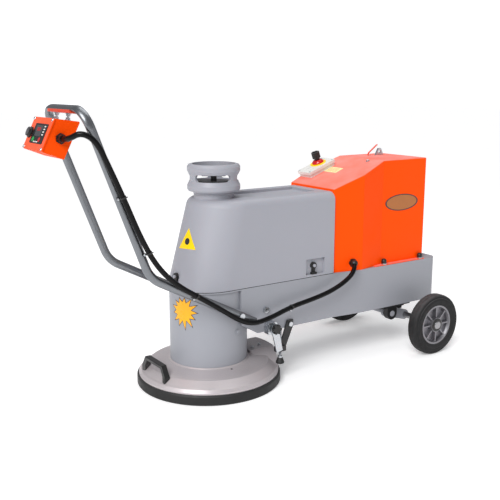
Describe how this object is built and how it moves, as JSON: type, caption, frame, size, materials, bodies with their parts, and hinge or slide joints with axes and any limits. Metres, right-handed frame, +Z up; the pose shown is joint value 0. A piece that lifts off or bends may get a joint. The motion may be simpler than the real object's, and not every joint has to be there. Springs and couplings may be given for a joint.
{
  "type": "walk-behind floor grinder",
  "caption": "Walk-behind floor grinder: planetary grinding head under a domed cover, raked water tank, rear control cabinet, tilting tube handle and rear wheels.",
  "frame": {"origin": "on the floor at the middle of the machine's length and width", "axes": "+X towards the wheels, +Y to the far side seen with the handle on the left, +Z up"},
  "size_m": [1.6752, 0.6106, 1.0249],
  "materials": {
    "grey_enamel": "satin sprayed enamel",
    "orange_enamel": "gloss powder coat",
    "red_enamel": "gloss powder coat",
    "black_enamel": "satin paint",
    "cast_aluminium": "cast and turned",
    "tank_plastic": "rotomoulded polyethylene",
    "black_plastic": "moulded",
    "isolator_plastic": "moulded",
    "black_rubber": "moulded",
    "tyre_rubber": "solid rubber",
    "zinc_steel": "zinc plated",
    "bare_steel": "machined",
    "handle_steel": "satin galvanised",
    "green_plastic": "moulded",
    "red_plastic": "moulded",
    "winding": "laminated core and copper winding"
  },
  "bodies": {
    "chassis": {"chassis_base": "grey_enamel", "head_housing": "grey_enamel", "head_cover": "cast_aluminium", "dust_skirt": "black_rubber", "carry_handle": "black_plastic", "ring_gear": "bare_steel", "motor_frame": "cast_aluminium", "motor_stator": "winding", "motor_bearings": "bare_steel", "water_tank": "tank_plastic", "rubber_latches": "black_rubber", "cabinet_cover": "orange_enamel", "rear_panel": "orange_enamel", "cap_knobs": "black_plastic", "isolator_box": "isolator_plastic", "inverter": "black_enamel", "cooling_fan_frame": "black_plastic", "power_inlet": "red_plastic", "cabinet_gland": "black_plastic", "pillow_blocks": "black_enamel", "arm_stops": "black_rubber", "stand_struts": "black_enamel", "stand_links": "zinc_steel", "frame_fasteners": "zinc_steel", "cable_lower": "black_rubber"},
    "rotor": {"motor_rotor": "bare_steel", "sun_gear": "bare_steel"},
    "carrier": {"carrier_plate": "bare_steel", "carrier_bearings": "bare_steel"},
    "satellite_1": {"planet_gear_1": "bare_steel", "grinding_disc_1": "bare_steel"},
    "satellite_2": {"planet_gear_2": "bare_steel", "grinding_disc_2": "bare_steel"},
    "satellite_3": {"planet_gear_3": "bare_steel", "grinding_disc_3": "bare_steel"},
    "filler_cap": {"tank_cap": "black_plastic"},
    "isolator_grip": {"isolator_knob": "black_plastic"},
    "cooling_fan": {"cooling_fan_rotor": "black_plastic"},
    "wheel_frame": {"wheel_arms": "grey_enamel", "axle": "bare_steel", "wheel_bearings": "bare_steel"},
    "wheel_near": {"tyre_near": "tyre_rubber", "hub_near": "cast_aluminium"},
    "wheel_far": {"tyre_far": "tyre_rubber", "hub_far": "cast_aluminium"},
    "clamp_knob_near": {"star_knob_near": "black_plastic"},
    "clamp_knob_far": {"star_knob_far": "black_plastic"},
    "foot_near": {"levelling_foot_near": "black_rubber"},
    "foot_far": {"levelling_foot_far": "black_rubber"},
    "handle": {"handle_tube": "handle_steel", "control_box": "orange_enamel", "control_panel": "orange_enamel", "box_fasteners": "zinc_steel", "box_bracket": "red_enamel", "box_gland": "black_plastic", "cable_upper": "black_rubber", "cable_flex": "black_rubber"},
    "stop_push": {"stop_button": "red_plastic"},
    "start_push": {"start_button": "green_plastic"},
    "speed_dial": {"speed_knob": "black_plastic"}
  },
  "joints": [
    {"name": "rotor_spin", "type": "hinge", "parent": "chassis", "child": "rotor", "pos_m": [-0.20544, 0, 0.2], "axis": [0, 0, 1], "continuous": true},
    {"name": "carrier_spin", "type": "hinge", "parent": "chassis", "child": "carrier", "pos_m": [-0.20544, 0, 0.038], "axis": [0, 0, 1], "continuous": true},
    {"name": "disc_1_spin", "type": "hinge", "parent": "carrier", "child": "satellite_1", "pos_m": [-0.07044, 0, 0.03], "axis": [0, 0, 1], "continuous": true},
    {"name": "disc_2_spin", "type": "hinge", "parent": "carrier", "child": "satellite_2", "pos_m": [-0.27294, 0.11691, 0.03], "axis": [0, 0, 1], "continuous": true},
    {"name": "disc_3_spin", "type": "hinge", "parent": "carrier", "child": "satellite_3", "pos_m": [-0.27294, -0.11691, 0.03], "axis": [0, 0, 1], "continuous": true},
    {"name": "filler_cap_turn", "type": "hinge", "parent": "chassis", "child": "filler_cap", "pos_m": [-0.17644, 0, 0.742], "axis": [0, 0, 1], "range_deg": [0, 90]},
    {"name": "isolator_turn", "type": "hinge", "parent": "chassis", "child": "isolator_grip", "pos_m": [0.40556, 0.112, 0.74594], "axis": [-0.3523, 0, 0.9359], "range_deg": [0, 90]},
    {"name": "cooling_fan_spin", "type": "hinge", "parent": "chassis", "child": "cooling_fan", "pos_m": [0.75256, 0.05, 0.49], "axis": [1, 0, 0], "continuous": true},
    {"name": "wheel_frame_swing", "type": "hinge", "parent": "chassis", "child": "wheel_frame", "pos_m": [0.59456, 0, 0.155], "axis": [0, 1, 0], "range_deg": [0, 12]},
    {"name": "wheel_near_spin", "type": "hinge", "parent": "wheel_frame", "child": "wheel_near", "pos_m": [0.70356, -0.275, 0.125], "axis": [0, 1, 0], "continuous": true},
    {"name": "wheel_far_spin", "type": "hinge", "parent": "wheel_frame", "child": "wheel_far", "pos_m": [0.70356, 0.275, 0.125], "axis": [0, 1, 0], "continuous": true},
    {"name": "clamp_knob_near_turn", "type": "hinge", "parent": "chassis", "child": "clamp_knob_near", "pos_m": [-0.02744, -0.185, 0.209], "axis": [0, -1, 0], "range_deg": [0, 360]},
    {"name": "clamp_knob_far_turn", "type": "hinge", "parent": "chassis", "child": "clamp_knob_far", "pos_m": [-0.02744, 0.185, 0.209], "axis": [0, 1, 0], "range_deg": [0, 360]},
    {"name": "foot_near_screw", "type": "slide", "parent": "chassis", "child": "foot_near", "axis": [0, 0, 1], "range_m": [-0.008, 0.012]},
    {"name": "foot_far_screw", "type": "slide", "parent": "chassis", "child": "foot_far", "axis": [0, 0, 1], "range_m": [-0.008, 0.012]},
    {"name": "handle_tilt", "type": "hinge", "parent": "chassis", "child": "handle", "pos_m": [-0.17044, 0, 0.28], "axis": [0, 1, 0], "range_deg": [-10, 50], "deforming": ["cable_flex"]},
    {"name": "stop_press", "type": "slide", "parent": "handle", "child": "stop_push", "axis": [0.9017, 0, -0.4324], "range_m": [0, 0.0025], "stiffness_N_per_m": 300},
    {"name": "start_press", "type": "slide", "parent": "handle", "child": "start_push", "axis": [0.9017, 0, -0.4324], "range_m": [0, 0.0025], "stiffness_N_per_m": 300},
    {"name": "speed_dial_turn", "type": "hinge", "parent": "handle", "child": "speed_dial", "pos_m": [-0.81345, 0.066, 0.93816], "axis": [-0.9017, 0, 0.4324], "range_deg": [0, 300]}
  ],
  "couplings": [
    {"joint": "carrier_spin", "follows": "rotor_spin", "ratio": 0.25},
    {"joint": "disc_1_spin", "follows": "rotor_spin", "ratio": -0.75},
    {"joint": "disc_2_spin", "follows": "rotor_spin", "ratio": -0.75},
    {"joint": "disc_3_spin", "follows": "rotor_spin", "ratio": -0.75}
  ]
}
